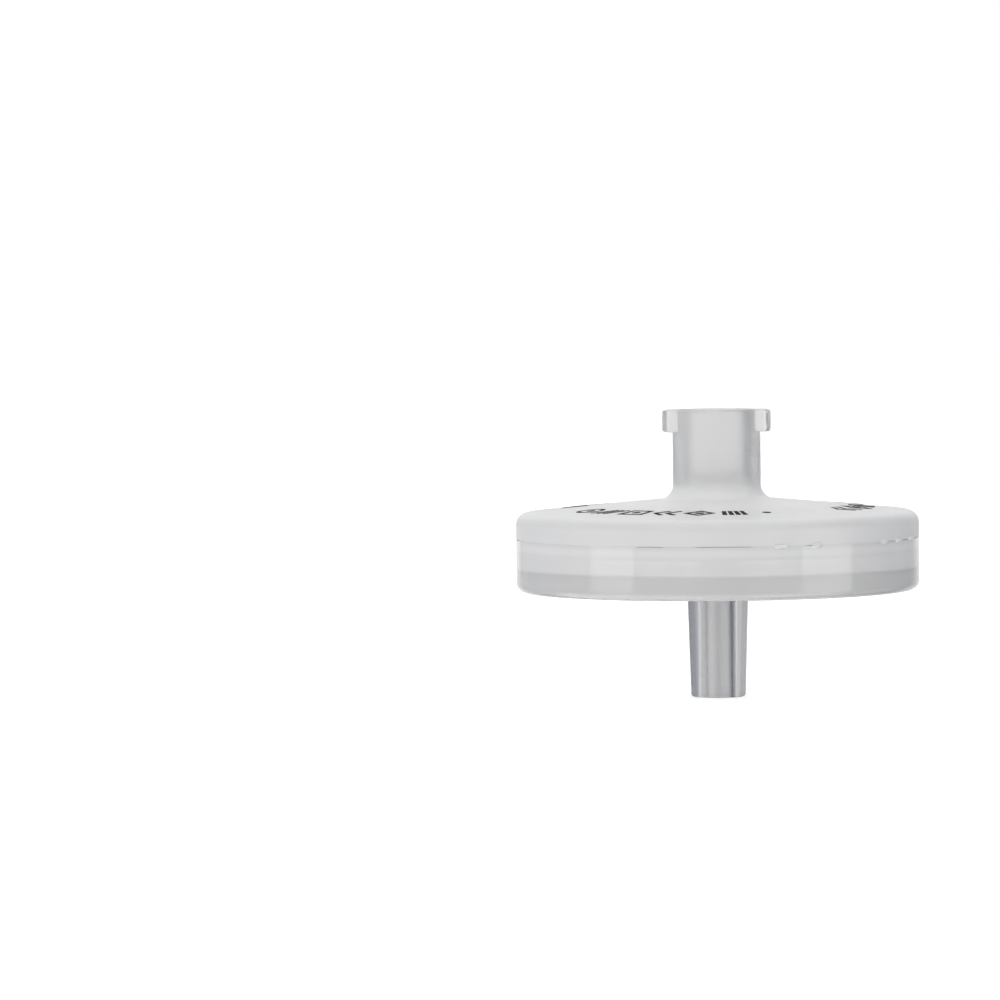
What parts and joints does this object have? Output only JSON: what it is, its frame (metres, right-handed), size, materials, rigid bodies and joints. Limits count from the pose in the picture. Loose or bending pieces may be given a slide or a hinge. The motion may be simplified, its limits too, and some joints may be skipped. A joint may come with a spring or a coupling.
{
  "type": "syringe filter",
  "caption": "Round disc filter housing with a female Luer-lock inlet, a tapered male outlet and a membrane clamped inside.",
  "frame": {"origin": "centre of the outlet tip's end face", "axes": "+Z along the housing's axis towards the inlet; +X through one of the two Luer-lock lugs; +Y completes the frame"},
  "size_m": [0.029, 0.029, 0.0207],
  "materials": {
    "inlet_plastic": "satin natural polypropylene, milky and translucent",
    "outlet_plastic": "glossy natural polypropylene, milky and translucent",
    "membrane": "white microporous membrane, dull",
    "print_ink": "black printing ink, satin"
  },
  "bodies": {
    "root": {"lower_housing": "outlet_plastic", "membrane": "membrane", "upper_housing": "inlet_plastic"}
  },
  "joints": []
}
